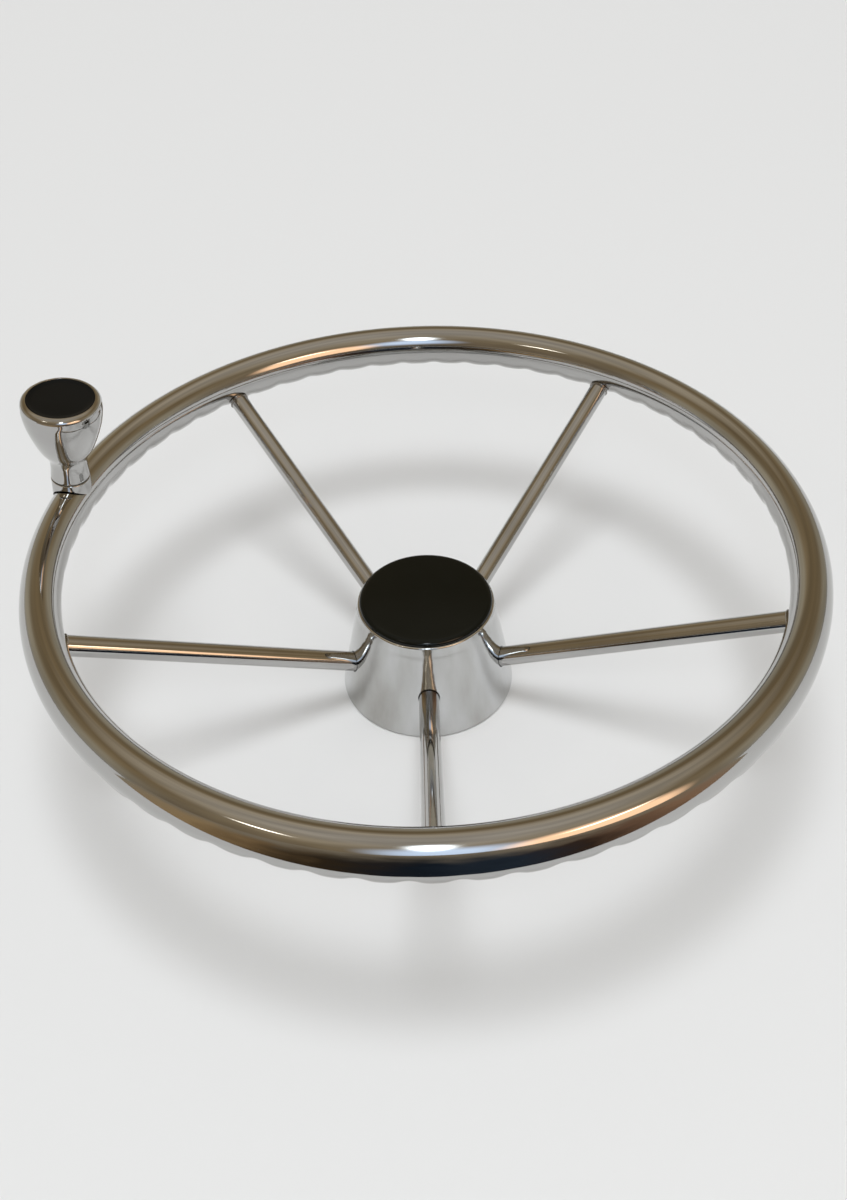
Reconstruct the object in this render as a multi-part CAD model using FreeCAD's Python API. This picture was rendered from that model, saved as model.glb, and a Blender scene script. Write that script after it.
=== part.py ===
import FreeCAD, Part
import math
import os

# Stainless boat steering wheel: a bent tube rim with finger grips, five welded spokes, a conical
# hub with a tapered shaft boss and a snap-in centre cap, and a free-turning knob on the rim.
# Millimetres. The origin is the middle of the hub's back face, +Z runs along the shaft axis
# towards the driver, and the first spoke points along -Y.

V = FreeCAD.Vector
ORIGIN = V(0, 0, 0)
UP = V(0, 0, 1)

# Clearances
FIT_GAP = 0.05
RUNNING_GAP = 0.04
THRUST_GAP = 0.08

# Rim: an oval tube bent into a ring, its foot leaning outwards. Its outline is drawn through
# SECTION_POINTS points.
RIM_RADIUS = 187.0
RIM_HEIGHT = 92.7
TUBE_HALF_WIDTH = 9.75
TUBE_HALF_HEIGHT = 12.1
TUBE_LEAN = 8.0
SECTION_POINTS = 12

# Finger grips pressed into the underside, a whole number of them between two spokes. Measured
# round the tube from its inner side, they reach full depth at GRIP_DEEPEST degrees and fade out
# over the last GRIP_FADE degrees before GRIP_END.
GRIPS_PER_BAY = 12
GRIP_DEPTH = 1.2
GRIP_DEEPEST = 100.0
GRIP_END = 168.0
GRIP_FADE = 40.0

# Spokes: round bars from the boss through the hub shell to the low inner side of the rim
SPOKE_COUNT = 5
SPOKE_RADIUS = 5.15
SPOKE_ROOT_HEIGHT = 6.7
SPOKE_RIM_DROP = 4.5
SPOKE_HOLE_GAP = 0.4
FIRST_AZIMUTH = -90.0

# Hub shell: a spun cone with a rolled lip
HUB_BASE_RADIUS = 45.7
HUB_TOP_RADIUS = 35.5
HUB_HEIGHT = 54.5
HUB_SHEET = 1.5
LIP_RADIUS = 1.0
LIP_LAND = 0.5

# Boss: turned, with a 1:12 tapered bore, a keyway and a recess for the shaft nut
BOSS_RADIUS = 19.0
BOSS_SPIGOT_RADIUS = 17.5
BORE_LARGE_RADIUS = 9.525
BORE_LENGTH = 25.4
BORE_TAPER = 1.0 / 24.0
KEYWAY_WIDTH = 4.76
KEYWAY_DEPTH = 2.4
NUT_RECESS_RADIUS = 14.5
NUT_RECESS_DEPTH = 5.6

# Back plate between the boss and the shell
PLATE_RECESS = 1.5
PLATE_THICKNESS = 2.0

# Centre cap: a shallow black crown with six snap fingers behind the rolled lip
CAP_RADIUS = 34.5
CAP_EDGE_HEIGHT = 0.7
CAP_EDGE_ROUND = 2.2
CAP_RISE = 0.8
CAP_WALL = 2.0
CAP_FINGER_LENGTH = 6.5
CAP_FINGER_WALL = 1.6
CAP_HOOK = 0.4
CAP_SLOT_WIDTH = 4.0
CAP_SLOT_PAIRS = 3

# Knob: where it stands on the rim
KNOB_AZIMUTH = 165.8
KNOB_TILT = 6.7
KNOB_OFFSET = 1.2

# Saddle: the fixed collar under the knob, cut to the tube and held just off it by the stud
SADDLE_RADIUS = 9.9
SADDLE_HEIGHT = 3.9
SADDLE_EDGE = 0.5
SADDLE_GAP = 0.25

# Spindle: threaded into saddle and rim, with a plain shoulder that the bushes turn on
STUD_RADIUS = 4.0
STUD_DEPTH = 4.5
SHOULDER_RADIUS = 5.0
SPINDLE_CHAMFER = 0.6
SPINDLE_PROUD = 1.4

# Bushes: pressed into the knob body, each with a thrust flange
BUSH_WALL = 2.0
BUSH_FLANGE = 0.6
BUSH_LENGTH = 9.0
LOWER_FLANGE_RADIUS = 8.4
UPPER_FLANGE_RADIUS = 9.2

# Washer and self-locking nut
WASHER_RADIUS = 9.0
WASHER_THICKNESS = 1.2
NUT_ACROSS_FLATS = 13.0
NUT_HEX_HEIGHT = 6.0
NUT_COLLAR_HEIGHT = 2.0
NUT_COLLAR_RADIUS = 6.0
NUT_RING_RADIUS = 5.1

# Knob body: a polished cup on a narrow neck, given by heights above its lower end and turned
# in SIDE_BANDS bands between them
NECK_FOOT_RADIUS = 9.8
NECK_RADIUS = 9.3
NECK_HEIGHT = 7.0
WAIST_HEIGHT = 12.3
WAIST_RADIUS = 10.0
FLARE_HEIGHT = 18.9
FLARE_RADIUS = 13.9
BELLY_HEIGHT = 26.3
BELLY_RADIUS = 16.6
SHOULDER_HEIGHT = 33.8
CUP_SHOULDER_RADIUS = 18.7
CUP_HEIGHT = 40.4
CUP_RADIUS = 19.9
LIP_HEIGHT = 46.2
LIP_OUTER_RADIUS = 19.7
SIDE_BANDS = 7
SEAT_HEIGHT = 23.4
CAVITY_RADIUS = 13.5

# Knob insert: a black plug let into the mouth of the cup
INSERT_RADIUS = 16.6
INSERT_THICKNESS = 3.4
INSERT_EDGE = 0.5


def rounded(centre, radius, start, end, bands):
    """Points along an arc about a (radius, height) centre, from one angle to another in degrees."""
    turns = [math.radians(start + (end - start) * k / bands) for k in range(bands + 1)]
    return [(centre[0] + radius * math.cos(t), centre[1] + radius * math.sin(t)) for t in turns]


def turned(*points):
    """The solid turned about Z by a closed outline of (radius, height) points."""
    corners = [V(r, 0, h) for r, h in points]
    return Part.Face(Part.makePolygon(corners + corners[:1])).revolve(ORIGIN, UP, 360)


def turn_to(shape, azimuth):
    """A copy of a shape turned about the wheel axis."""
    copy = shape.copy()
    copy.rotate(ORIGIN, UP, azimuth)
    return copy


def largest(shape):
    """The biggest solid of a cut, without the scraps beside it."""
    return max(shape.Solids, key=lambda solid: solid.Volume)


# Rim


def grip_share(turn):
    """Share of the grip depth at an angle round the tube: none on top, most low outside."""
    below = math.degrees(turn) - 180
    if below <= 0 or below >= GRIP_END:
        return 0.0
    fade = min(1.0, (GRIP_END - below) / GRIP_FADE)
    return math.sqrt(min(1.0, below / GRIP_DEEPEST)) * fade * fade * (3 - 2 * fade)


def tube_section(azimuth, press):
    """The tube's outline at an azimuth; press runs from 0 at a ridge to 1 at a grip's floor."""
    lean = math.radians(TUBE_LEAN)
    outward = V(math.cos(math.radians(azimuth)), math.sin(math.radians(azimuth)), 0)
    points = []
    for index in range(SECTION_POINTS):
        turn = 2 * math.pi * index / SECTION_POINTS
        normal = V(TUBE_HALF_HEIGHT * math.cos(turn), 0, TUBE_HALF_WIDTH * math.sin(turn))
        normal.normalize()
        point = V(TUBE_HALF_WIDTH * math.cos(turn), 0, TUBE_HALF_HEIGHT * math.sin(turn))
        point -= normal * (press * GRIP_DEPTH * grip_share(turn))
        radius = RIM_RADIUS + point.x * math.cos(lean) - point.z * math.sin(lean)
        height = RIM_HEIGHT + point.x * math.sin(lean) + point.z * math.cos(lean)
        points.append(outward * radius + V(0, 0, height))
    knots = [index / SECTION_POINTS for index in range(SECTION_POINTS + 1)]
    outline = Part.BSplineCurve()
    outline.interpolate(Points=points, PeriodicFlag=True, Parameters=knots)
    return outline.toShape()


def make_rim_tube():
    """The ring: one grip ruled from ridge to floor to ridge, repeated all the way round. The
    spokes stand on ridges."""
    pitch = 360.0 / (GRIPS_PER_BAY * SPOKE_COUNT)
    ridge, floor, next_ridge = [tube_section(FIRST_AZIMUTH + pitch * share, press)
                                for share, press in ((0, 0), (0.5, 1), (1, 0))]
    grip = [Part.makeRuledSurface(ridge, floor), Part.makeRuledSurface(floor, next_ridge)]
    sides = [turn_to(side, pitch * step) for step in range(round(360 / pitch)) for side in grip]
    skin = Part.Shell(sides)
    skin.sewShape()
    return Part.Solid(skin)


# Spokes and hub


def spoke_line():
    """Start point on the wheel axis and unit direction of the first spoke's centreline."""
    outward = turn_to(Part.Vertex(1, 0, 0), FIRST_AZIMUTH).Point
    root = V(0, 0, SPOKE_ROOT_HEIGHT)
    tip = outward * RIM_RADIUS + V(0, 0, RIM_HEIGHT - SPOKE_RIM_DROP)
    return root, (tip - root).normalize(), (tip - root).Length


def make_spoke(rim_tube):
    """The first spoke: a round bar coped to the boss and to the rim."""
    root, direction, length = spoke_line()
    bar = Part.makeCylinder(SPOKE_RADIUS, length, root, direction)
    boss_blank = Part.makeCylinder(BOSS_RADIUS + FIT_GAP, RIM_HEIGHT)
    return largest(bar.cut(boss_blank).cut(rim_tube))


def shell_inner_radius(height):
    """The inside of the hub's cone at a height."""
    slope = (HUB_BASE_RADIUS - HUB_TOP_RADIUS) / (HUB_HEIGHT - LIP_RADIUS)
    return HUB_BASE_RADIUS - slope * height - HUB_SHEET * math.hypot(1, slope)


def make_hub_shell():
    """Cone with a rolled lip at the front and a hole for each spoke."""
    lip_base = HUB_HEIGHT - LIP_RADIUS
    lip_inner = HUB_TOP_RADIUS - 2 * LIP_RADIUS
    land_base = lip_base - LIP_LAND
    under_lip = land_base - (shell_inner_radius(land_base) - lip_inner)
    shell = turned((HUB_BASE_RADIUS, 0),
                   *rounded((HUB_TOP_RADIUS - LIP_RADIUS, lip_base), LIP_RADIUS, 0, 180, 4),
                   (lip_inner, land_base),
                   (shell_inner_radius(under_lip), under_lip),
                   (shell_inner_radius(0), 0))
    root, direction, length = spoke_line()
    drill = Part.makeCylinder(SPOKE_RADIUS + SPOKE_HOLE_GAP, length, root, direction)
    for spoke in range(SPOKE_COUNT):
        shell = shell.cut(turn_to(drill, 360.0 * spoke / SPOKE_COUNT))
    return shell


def make_hub_boss():
    """Turned boss: spigot through the back plate, tapered keyed bore, nut recess in front."""
    top = BORE_LENGTH + NUT_RECESS_DEPTH
    step = PLATE_RECESS + PLATE_THICKNESS
    bore_small_radius = BORE_LARGE_RADIUS - BORE_TAPER * BORE_LENGTH
    boss = turned((BORE_LARGE_RADIUS, 0),
                  (BOSS_SPIGOT_RADIUS, 0),
                  (BOSS_SPIGOT_RADIUS, step),
                  (BOSS_RADIUS, step),
                  (BOSS_RADIUS, top),
                  (NUT_RECESS_RADIUS, top),
                  (NUT_RECESS_RADIUS, BORE_LENGTH),
                  (bore_small_radius, BORE_LENGTH))
    keyway = Part.makeBox(KEYWAY_WIDTH, BORE_LARGE_RADIUS + KEYWAY_DEPTH, BORE_LENGTH,
                          V(-KEYWAY_WIDTH / 2, 0, 0))
    return boss.cut(keyway)


def make_hub_back_plate():
    """Disc welded between the boss and the shell, its edge cut to the cone."""
    low, high = PLATE_RECESS, PLATE_RECESS + PLATE_THICKNESS
    inner = BOSS_SPIGOT_RADIUS + FIT_GAP
    return turned((inner, low),
                  (shell_inner_radius(low) - FIT_GAP, low),
                  (shell_inner_radius(high) - FIT_GAP, high),
                  (inner, high))


def make_center_cap():
    """Moulded dome that sits on the rolled lip, with a slotted skirt of snap fingers."""
    lip_inner = HUB_TOP_RADIUS - 2 * LIP_RADIUS
    land_base = HUB_HEIGHT - LIP_RADIUS - LIP_LAND
    skirt = lip_inner - 3 * FIT_GAP
    hook_top = land_base - CAP_HOOK - 2 * FIT_GAP
    skirt_low = HUB_HEIGHT - CAP_FINGER_LENGTH
    edge_top = HUB_HEIGHT + CAP_EDGE_HEIGHT
    dome_low = edge_top + CAP_EDGE_ROUND
    crown = dome_low + CAP_RISE
    ceiling = dome_low - CAP_WALL
    cap = turned((0, ceiling),
                 (skirt - CAP_FINGER_WALL, ceiling),
                 (skirt - CAP_FINGER_WALL, skirt_low),
                 (skirt, skirt_low),
                 (skirt + CAP_HOOK, hook_top),
                 (skirt, hook_top),
                 (skirt, HUB_HEIGHT),
                 (CAP_RADIUS, HUB_HEIGHT),
                 *rounded((CAP_RADIUS - CAP_EDGE_ROUND, edge_top), CAP_EDGE_ROUND, 0, 80, 2),
                 (CAP_RADIUS * 0.55, crown),
                 (0, crown))
    slot = Part.makeBox(2 * CAP_RADIUS, CAP_SLOT_WIDTH, HUB_HEIGHT - skirt_low,
                        V(-CAP_RADIUS, -CAP_SLOT_WIDTH / 2, skirt_low))
    for pair in range(CAP_SLOT_PAIRS):
        cap = cap.cut(turn_to(slot, 180.0 * pair / CAP_SLOT_PAIRS))
    return cap


# Knob, turned about Z with height zero at the tube's centre, then stood on the rim

SADDLE_TOP = TUBE_HALF_HEIGHT + SADDLE_HEIGHT
BODY_BASE = SADDLE_TOP + THRUST_GAP + BUSH_FLANGE
BODY_SEAT = BODY_BASE + SEAT_HEIGHT
WASHER_BASE = BODY_SEAT + BUSH_FLANGE + THRUST_GAP
NUT_BASE = WASHER_BASE + WASHER_THICKNESS
NUT_TOP = NUT_BASE + NUT_HEX_HEIGHT + NUT_COLLAR_HEIGHT
INSERT_TOP = BODY_BASE + LIP_HEIGHT + INSERT_EDGE
LEDGE = INSERT_TOP - INSERT_THICKNESS
BUSH_BORE = SHOULDER_RADIUS + RUNNING_GAP
BUSH_OUTER = SHOULDER_RADIUS + BUSH_WALL
MOUTH_RADIUS = INSERT_RADIUS + FIT_GAP


def stand_on_rim(shape):
    """Takes a knob piece from the tube's centre at the origin to its place on the rim."""
    placed = shape.copy()
    placed.rotate(ORIGIN, V(0, 1, 0), -KNOB_TILT)
    placed.translate(V(RIM_RADIUS + KNOB_OFFSET, 0, RIM_HEIGHT))
    return turn_to(placed, KNOB_AZIMUTH)


def make_stud_hole():
    """Blind threaded hole in the top of the rim for the spindle's stud."""
    hole = Part.makeCylinder(STUD_RADIUS + FIT_GAP, STUD_DEPTH + TUBE_HALF_HEIGHT,
                             V(0, 0, TUBE_HALF_HEIGHT - STUD_DEPTH))
    return stand_on_rim(hole)


def make_knob_saddle(rim_tube):
    """Collar with a rounded top edge, its lower end following the tube at a hairline gap."""
    low = TUBE_HALF_HEIGHT / 4
    bore = STUD_RADIUS + FIT_GAP
    collar = turned((bore, low),
                    (SADDLE_RADIUS, low),
                    (SADDLE_RADIUS, SADDLE_TOP - SADDLE_EDGE),
                    (SADDLE_RADIUS - SADDLE_EDGE, SADDLE_TOP),
                    (bore, SADDLE_TOP))
    raised_tube = rim_tube.copy()
    raised_tube.translate(stand_on_rim(Part.Vertex(0, 0, SADDLE_GAP)).Point
                          - stand_on_rim(Part.Vertex(0, 0, 0)).Point)
    return largest(stand_on_rim(collar).cut(raised_tube))


def make_knob_spindle():
    """Stud, plain shoulder and threaded end on one axis."""
    tail = TUBE_HALF_HEIGHT - STUD_DEPTH + FIT_GAP
    end = NUT_TOP + SPINDLE_PROUD
    return turned((0, tail),
                  (STUD_RADIUS - SPINDLE_CHAMFER, tail),
                  (STUD_RADIUS, tail + SPINDLE_CHAMFER),
                  (STUD_RADIUS, SADDLE_TOP),
                  (SHOULDER_RADIUS, SADDLE_TOP),
                  (SHOULDER_RADIUS, WASHER_BASE),
                  (STUD_RADIUS, WASHER_BASE),
                  (STUD_RADIUS, end - SPINDLE_CHAMFER),
                  (STUD_RADIUS - SPINDLE_CHAMFER, end),
                  (0, end))


def make_bush(seat, flange_radius, inward):
    """Flanged sleeve pressed in from a seat on the body; inward is 1 upwards and -1 downwards."""
    sleeve = BUSH_OUTER - FIT_GAP
    flange_face = seat - inward * BUSH_FLANGE
    sleeve_end = seat + inward * BUSH_LENGTH
    return turned((BUSH_BORE, flange_face),
                  (flange_radius, flange_face),
                  (flange_radius, seat),
                  (sleeve, seat),
                  (sleeve, sleeve_end),
                  (BUSH_BORE, sleeve_end))


def make_knob_washer():
    """Plain washer on the spindle's step, over the upper bush."""
    hole = STUD_RADIUS + FIT_GAP
    return turned((hole, WASHER_BASE),
                  (WASHER_RADIUS, WASHER_BASE),
                  (WASHER_RADIUS, NUT_BASE),
                  (hole, NUT_BASE))


def make_knob_nut():
    """Hexagon nut with a round collar that is hollow for the locking ring."""
    corner = NUT_ACROSS_FLATS / math.sqrt(3)
    corners = [V(corner * math.cos(math.pi * k / 3), corner * math.sin(math.pi * k / 3), NUT_BASE)
               for k in range(7)]
    hexagon = Part.Face(Part.makePolygon(corners)).extrude(V(0, 0, NUT_HEX_HEIGHT))
    collar_base = NUT_BASE + NUT_HEX_HEIGHT
    collar = Part.makeCylinder(NUT_COLLAR_RADIUS, NUT_COLLAR_HEIGHT, V(0, 0, collar_base))
    pocket = Part.makeCylinder(NUT_RING_RADIUS + FIT_GAP, NUT_COLLAR_HEIGHT, V(0, 0, collar_base))
    thread = Part.makeCylinder(STUD_RADIUS + FIT_GAP, NUT_HEX_HEIGHT, V(0, 0, NUT_BASE))
    return hexagon.fuse(collar).cut(pocket).cut(thread)


def make_knob_nut_ring():
    """Locking ring in the nut's collar."""
    base = NUT_BASE + NUT_HEX_HEIGHT
    hole = STUD_RADIUS + FIT_GAP
    return turned((hole, base),
                  (NUT_RING_RADIUS, base),
                  (NUT_RING_RADIUS, NUT_TOP),
                  (hole, NUT_TOP))


def make_knob_body():
    """Cup on a narrow neck: a flowing outside, a rounded lip and a hollow for nut and insert."""
    side = Part.BSplineCurve()
    side.interpolate(Points=[V(NECK_RADIUS, 0, NECK_HEIGHT),
                             V(WAIST_RADIUS, 0, WAIST_HEIGHT),
                             V(FLARE_RADIUS, 0, FLARE_HEIGHT),
                             V(BELLY_RADIUS, 0, BELLY_HEIGHT),
                             V(CUP_SHOULDER_RADIUS, 0, SHOULDER_HEIGHT),
                             V(CUP_RADIUS, 0, CUP_HEIGHT),
                             V(LIP_OUTER_RADIUS, 0, LIP_HEIGHT)],
                     InitialTangent=UP, FinalTangent=V(-0.2, 0, 1))
    contour = [(point.x, BODY_BASE + point.z) for point in side.discretize(SIDE_BANDS + 1)]
    lip_middle = ((LIP_OUTER_RADIUS + MOUTH_RADIUS) / 2, BODY_BASE + LIP_HEIGHT)
    lip_half = (LIP_OUTER_RADIUS - MOUTH_RADIUS) / 2
    return turned((NECK_FOOT_RADIUS, BODY_BASE),
                  *contour[:-1],
                  *rounded(lip_middle, lip_half, 0, 180, 4),
                  (MOUTH_RADIUS, LEDGE),
                  (CAVITY_RADIUS, LEDGE),
                  (CAVITY_RADIUS, BODY_SEAT),
                  (BUSH_OUTER, BODY_SEAT),
                  (BUSH_OUTER, BODY_BASE))


def make_knob_insert():
    """Bevelled disc that closes the mouth of the cup, seated on the ledge."""
    return turned((0, LEDGE),
                  (INSERT_RADIUS, LEDGE),
                  (INSERT_RADIUS, INSERT_TOP - INSERT_EDGE),
                  (INSERT_RADIUS - INSERT_EDGE, INSERT_TOP),
                  (0, INSERT_TOP))


def make_pieces():
    """Every piece of the wheel by its name."""
    rim_tube = make_rim_tube()
    spoke = make_spoke(rim_tube)
    pieces = {
        "rim": rim_tube.cut(make_stud_hole()),
        "hub_shell": make_hub_shell(),
        "hub_boss": make_hub_boss(),
        "hub_back_plate": make_hub_back_plate(),
        "center_cap": make_center_cap(),
        "knob_saddle": make_knob_saddle(rim_tube),
        "knob_spindle": stand_on_rim(make_knob_spindle()),
        "knob_lower_bush": stand_on_rim(make_bush(BODY_BASE, LOWER_FLANGE_RADIUS, 1)),
        "knob_upper_bush": stand_on_rim(make_bush(BODY_SEAT, UPPER_FLANGE_RADIUS, -1)),
        "knob_body": stand_on_rim(make_knob_body()),
        "knob_washer": stand_on_rim(make_knob_washer()),
        "knob_nut": stand_on_rim(make_knob_nut()),
        "knob_nut_ring": stand_on_rim(make_knob_nut_ring()),
        "knob_insert": stand_on_rim(make_knob_insert()),
    }
    for number in range(SPOKE_COUNT):
        pieces["spoke_%d" % (number + 1)] = turn_to(spoke, 360.0 * number / SPOKE_COUNT)
    return pieces


os.makedirs("parts", exist_ok=True)
for name, piece in make_pieces().items():
    piece.exportStep("parts/%s.step" % name)
    print(name, piece.ShapeType, piece.isValid(), len(piece.Solids), round(piece.Volume, 1))
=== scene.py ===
import bpy
import bmesh
import math
from mathutils import Matrix, Vector


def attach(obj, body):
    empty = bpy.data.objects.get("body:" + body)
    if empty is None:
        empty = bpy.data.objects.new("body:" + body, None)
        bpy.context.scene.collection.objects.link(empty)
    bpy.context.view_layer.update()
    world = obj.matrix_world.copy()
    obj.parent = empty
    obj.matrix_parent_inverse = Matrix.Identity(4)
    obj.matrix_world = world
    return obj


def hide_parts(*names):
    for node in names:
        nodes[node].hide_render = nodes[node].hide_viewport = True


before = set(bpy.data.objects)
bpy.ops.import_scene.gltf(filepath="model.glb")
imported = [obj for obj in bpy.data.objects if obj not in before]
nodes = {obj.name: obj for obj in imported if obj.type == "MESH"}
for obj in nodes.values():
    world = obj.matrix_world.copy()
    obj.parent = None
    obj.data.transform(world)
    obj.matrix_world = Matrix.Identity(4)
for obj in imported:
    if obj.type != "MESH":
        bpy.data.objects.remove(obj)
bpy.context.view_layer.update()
UP = Vector((0, 0, 1))

# Sizes of the wheel, in metres, as the solids have them

RIM_RADIUS = 0.187
RIM_HEIGHT = 0.0927
TUBE_HALF_WIDTH = 0.00975
TUBE_HALF_HEIGHT = 0.0121
TUBE_LEAN = math.radians(8)
GRIP_COUNT = 60
GRIP_DEPTH = 0.0012
GRIP_DEEPEST = math.radians(100)
GRIP_END = math.radians(168)
GRIP_FADE = math.radians(40)

SPOKE_COUNT = 5
SPOKE_RADIUS = 0.00515
SPOKE_ROOT_HEIGHT = 0.0067
SPOKE_RIM_DROP = 0.0045
SPOKE_HOLE_GAP = 0.0004
FIRST_AZIMUTH = -math.pi / 2

HUB_BASE_RADIUS = 0.0457
HUB_TOP_RADIUS = 0.0355
HUB_HEIGHT = 0.0545
HUB_SHEET = 0.0015
LIP_RADIUS = 0.001
LIP_BASE = HUB_HEIGHT - LIP_RADIUS
LIP_INNER_RADIUS = HUB_TOP_RADIUS - 2 * LIP_RADIUS
LIP_LAND = 0.0005
HUB_SLOPE = (HUB_BASE_RADIUS - HUB_TOP_RADIUS) / LIP_BASE
HUB_WALL = HUB_SHEET * math.hypot(1, HUB_SLOPE)
BOSS_RADIUS = 0.019
PLATE_RECESS = 0.0015

CAP_RADIUS = 0.0345
CAP_EDGE_HEIGHT = 0.0007
CAP_EDGE_ROUND = 0.0022
CAP_RISE = 0.0008
CAP_WALL = 0.002
CAP_FINGER_COUNT = 6
CAP_FINGER_LENGTH = 0.0065
CAP_FINGER_WALL = 0.0016
CAP_HOOK = 0.0004
CAP_SLOT_WIDTH = 0.004

KNOB_AZIMUTH = math.radians(165.8)
KNOB_TILT = math.radians(6.7)
KNOB_OFFSET = 0.0012
SADDLE_RADIUS = 0.0099
SADDLE_BORE = 0.00405
SADDLE_HEIGHT = 0.0039
SADDLE_TOP = TUBE_HALF_HEIGHT + SADDLE_HEIGHT
SADDLE_EDGE = 0.0005
SADDLE_GAP = 0.00025
THRUST_GAP = 0.00008
BUSH_FLANGE = 0.0006
BODY_BASE = SADDLE_TOP + THRUST_GAP + BUSH_FLANGE
NECK_FOOT_RADIUS = 0.0098
CUP_LIP_RADIUS = 0.0197
CUP_LEDGE_HEIGHT = 0.0433
CAVITY_RADIUS = 0.0135
SEAT_HEIGHT = 0.0234
BUSH_OUTER = 0.007
INSERT_RADIUS = 0.0166
INSERT_GAP = 0.00005
MOUTH_RADIUS = INSERT_RADIUS + INSERT_GAP

# Finer detail and softer edges, which only the looks have

HUB_FOOT_EDGE = 0.0004
HUB_BAND = 0.008
HUB_BAND_COUNT = 6
LIP_NECK_DROP = 0.0045
LIP_CREASE_DROP = 0.0009
LIP_CREASE_DEPTH = 0.00025

CAP_EDGE_DEPTH = 0.0030
CAP_SKIRT_GAP = 0.00015
CAP_UNDER_EDGE = 0.0002
CAP_CEILING_EDGE = 0.0010
CAP_HOOK_DROP = 0.0020
CAP_HOOK_SLOPE = 0.0001

SPOKE_WELD = 0.00055
SPOKE_SINK = 0.0012
PLATE_WELD = 0.0008
PLATE_OUTER_WELD_INSET = 0.0002
PLATE_INNER_WELD_RADIUS = 0.0177
BEAD_RIPPLE = 0.12
BEAD_RIPPLE_STEP = 2.4

NECK_FOOT_ROUND = 0.0005
CUP_TOP = 0.0473
MOUTH_ROUND = 0.00012
INSERT_SINK = 0.00015
INSERT_DISH = 0.0004
INSERT_BEVEL_WIDTHS = (0.0013, 0.0008)
INSERT_BEVEL_DEPTHS = (0.00038, 0.00005)
INSERT_EDGE_ROUND = 0.0004
HEEL_INSET = 0.0010
HEEL_HEIGHT = 0.0005
HEEL_FACING = -0.3

# How finely the pieces are drawn

STATIONS_PER_GRIP = 20
TUBE_AROUND = 64
SPOKE_AROUND = 48
SPOKE_BANDS = 12
BEAD_AROUND = 10
HUB_AROUND = 160
PLATE_WELD_AROUND = 180
CAP_AROUND = 128
CAP_CROWN_BANDS = 12
CAP_EDGE_BANDS = 14
FINGER_STEPS = 16
CUP_AROUND = 128
CUP_SIDE_BANDS = 10
INSERT_AROUND = 96
INSERT_BANDS = 10
SADDLE_AROUND = 96
MERGE_DISTANCE = 1e-7
ON_AXIS = 1e-9

# Where the drills run along a spoke, and where the tube's skin is looked for

DRILL_REACH = (0.030, 0.060)
SPOKE_SEARCH_START = 0.150
SPOKE_SEARCH_LENGTH = 0.045
SADDLE_SEARCH_END = 0.0015
SEARCH_HALVINGS = 30


# Shader groups


def new_group(name, inputs, outputs):
    """An empty shader group with named inputs, each with its usual value, and outputs."""
    group = bpy.data.node_groups.new(name, "ShaderNodeTree")
    for label, kind, value in inputs:
        socket = group.interface.new_socket(label, in_out="INPUT", socket_type=kind)
        if value is not None:
            socket.default_value = value
    for label, kind in outputs:
        group.interface.new_socket(label, in_out="OUTPUT", socket_type=kind)
    given = group.nodes.new("NodeGroupInput")
    out = group.nodes.new("NodeGroupOutput")
    return group, given, out


def add(tree, kind, links=(), **settings):
    """A node with its settings, its plain socket values and its links in one call."""
    node = tree.nodes.new(kind)
    for key, value in settings.items():
        setattr(node, key, value)
    for socket, source in links:
        target = node.inputs[socket]
        if isinstance(source, bpy.types.NodeSocket):
            tree.links.new(source, target)
        else:
            target.default_value = source
    return node


def maths(tree, operation, first, second):
    """The output of one maths node."""
    return add(tree, "ShaderNodeMath", [(0, first), (1, second)], operation=operation).outputs[0]


def make_polish_marks():
    """Hand polishing: long soft unevenness, fine hairlines and a few rubbed patches."""
    group, given, out = new_group(
        "polish_marks",
        [("Vector", "NodeSocketVector", None), ("Waviness", "NodeSocketFloat", 90.0),
         ("Hairlines", "NodeSocketFloat", 900.0), ("Smooth", "NodeSocketFloat", 0.05),
         ("Rubbed", "NodeSocketFloat", 0.10)],
        [("Roughness", "NodeSocketFloat"), ("Height", "NodeSocketFloat"), ("Tone", "NodeSocketFloat")])
    wave = add(group, "ShaderNodeTexNoise",
               [("Vector", given.outputs["Vector"]), ("Scale", given.outputs["Waviness"]), ("Detail", 2.0)])
    hair = add(group, "ShaderNodeTexNoise",
               [("Vector", given.outputs["Vector"]), ("Scale", given.outputs["Hairlines"]),
                ("Detail", 4.0), ("Roughness", 0.7)])
    patch = add(group, "ShaderNodeTexNoise",
                [("Vector", given.outputs["Vector"]), ("Scale", 28.0), ("Detail", 6.0)])
    rubbed = add(group, "ShaderNodeMapRange",
                 [("Value", patch.outputs[0]), ("From Min", 0.45), ("From Max", 0.75)])
    grain = maths(group, "MULTIPLY", hair.outputs[0], rubbed.outputs[0])
    spread = maths(group, "SUBTRACT", given.outputs["Rubbed"], given.outputs["Smooth"])
    rough = maths(group, "ADD", given.outputs["Smooth"], maths(group, "MULTIPLY", grain, spread))
    height = maths(group, "ADD", wave.outputs[0], maths(group, "MULTIPLY", hair.outputs[0], 0.02))
    tone = add(group, "ShaderNodeMapRange",
               [("Value", patch.outputs[0]), ("From Min", 0.3), ("From Max", 0.7)])
    group.links.new(rough, out.inputs["Roughness"])
    group.links.new(height, out.inputs["Height"])
    group.links.new(tone.outputs[0], out.inputs["Tone"])
    return group


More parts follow.
